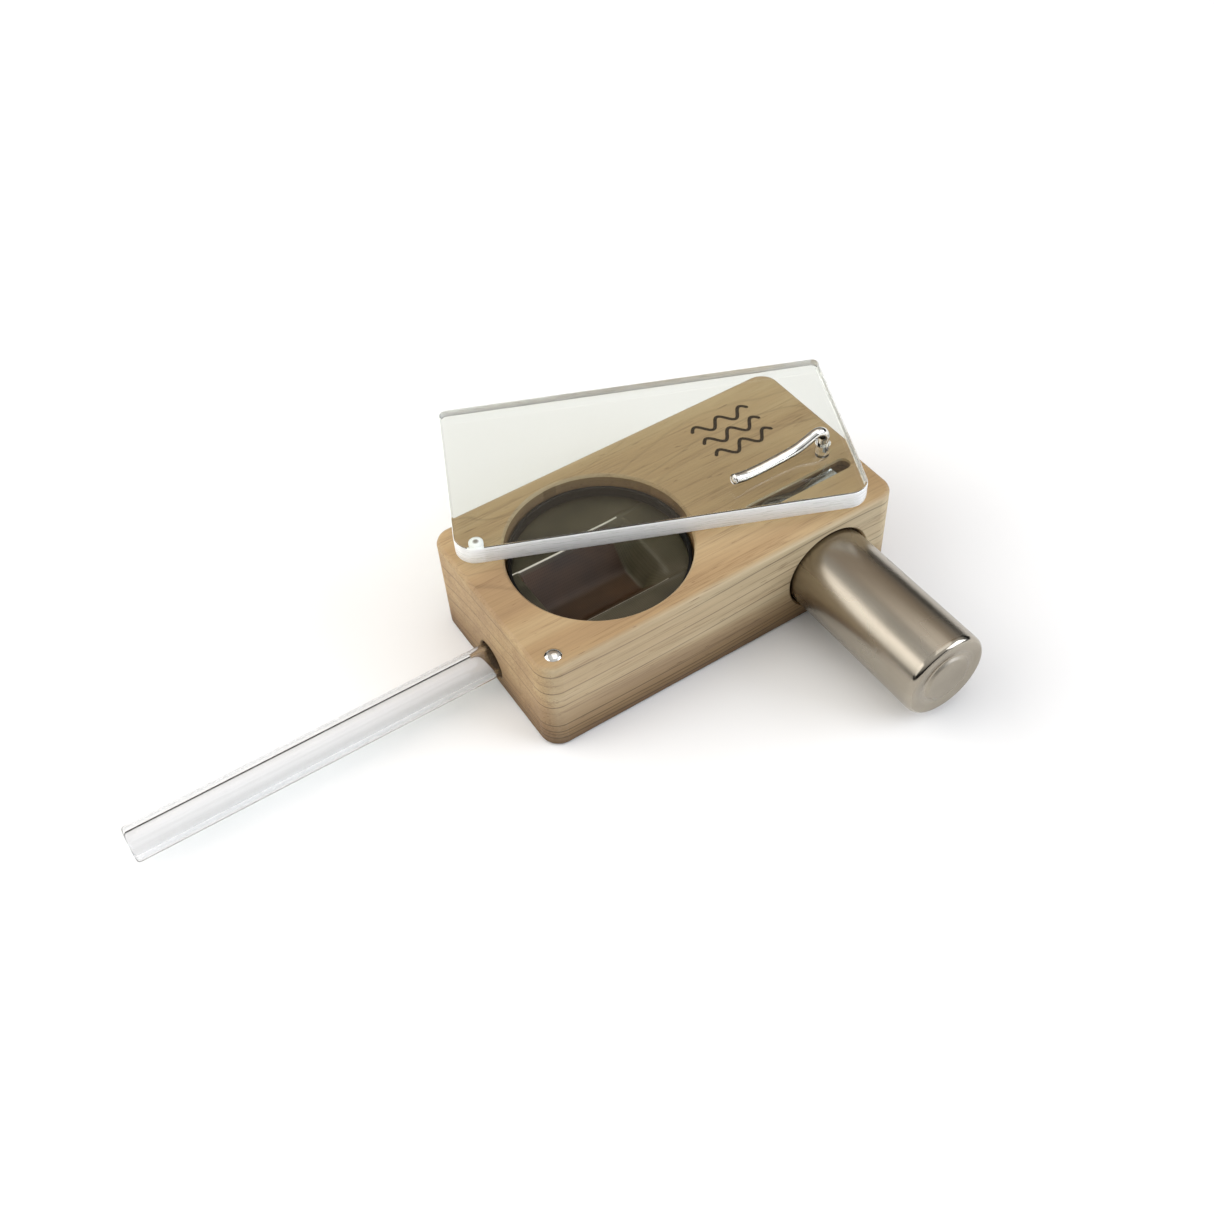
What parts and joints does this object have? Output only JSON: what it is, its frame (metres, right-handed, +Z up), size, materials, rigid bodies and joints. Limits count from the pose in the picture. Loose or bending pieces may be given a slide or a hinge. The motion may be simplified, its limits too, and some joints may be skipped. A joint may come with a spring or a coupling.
{
  "type": "handheld box vaporizer",
  "caption": "Small solid-wood box with a round screened recess, swivelling clear lid on a spring wire, glass draw tube and a bare metal cell pushed into a cross bore.",
  "frame": {"origin": "centre of the wooden block's underside, in the plane it stands on", "axes": "+X along the block's length, from the draw tube's end to the cell's end; -Y is the long face that the cell leaves; +Z up through the lid"},
  "size_m": [0.1258, 0.0795, 0.0246],
  "materials": {
    "maple": "oiled hard maple, planed and sanded",
    "acrylic": "clear cast acrylic sheet with flame-eased, frosted-looking edges",
    "wire_steel": "polished stainless spring wire",
    "chrome": "bright plated steel",
    "black_ring": "blackened steel ring",
    "screen_mesh": "fine woven steel screen, heat browned",
    "rod_metal": "drawn copper alloy",
    "contact_steel": "rolled spring strip",
    "glass": "clear borosilicate tube, fire-polished",
    "cell_nickel": "drawn nickel-plated steel can, lengthwise draw marks",
    "nylon": "moulded nylon seal",
    "vent_rubber": "moulded rubber",
    "insulator_card": "fibre card and separator felt",
    "plate_paste": "pasted electrode sheet"
  },
  "bodies": {
    "box": {"body_block": "maple", "lid_spring_wire": "wire_steel", "detent_stud": "chrome", "screen_ring": "black_ring", "mesh_screen": "screen_mesh", "bus_rod_front": "rod_metal", "bus_rod_rear": "rod_metal", "side_contact": "contact_steel", "tip_contact": "rod_metal"},
    "lid": {"lid": "acrylic"},
    "cell": {"cell_can": "cell_nickel", "cell_button": "chrome", "cell_gasket": "nylon", "cell_vent_plug": "vent_rubber", "cell_collector": "contact_steel", "cell_top_insulator": "insulator_card", "cell_bottom_insulator": "insulator_card", "cell_negative_plate": "plate_paste", "cell_separator": "insulator_card", "cell_positive_plate": "plate_paste"},
    "tube": {"draw_tube": "glass"}
  },
  "joints": [
    {"name": "lid_swing", "type": "hinge", "parent": "box", "child": "lid", "pos_m": [0.026, -0.0047, 0.0198], "axis": [0, 0, 1], "range_deg": [-18.2, 23.8]},
    {"name": "cell_slide", "type": "slide", "parent": "box", "child": "cell", "axis": [0, 1, 0], "range_m": [-0.024, 0.0012]},
    {"name": "tube_slide", "type": "slide", "parent": "box", "child": "tube", "axis": [-1, 0, 0], "range_m": [0, 0.006]}
  ]
}
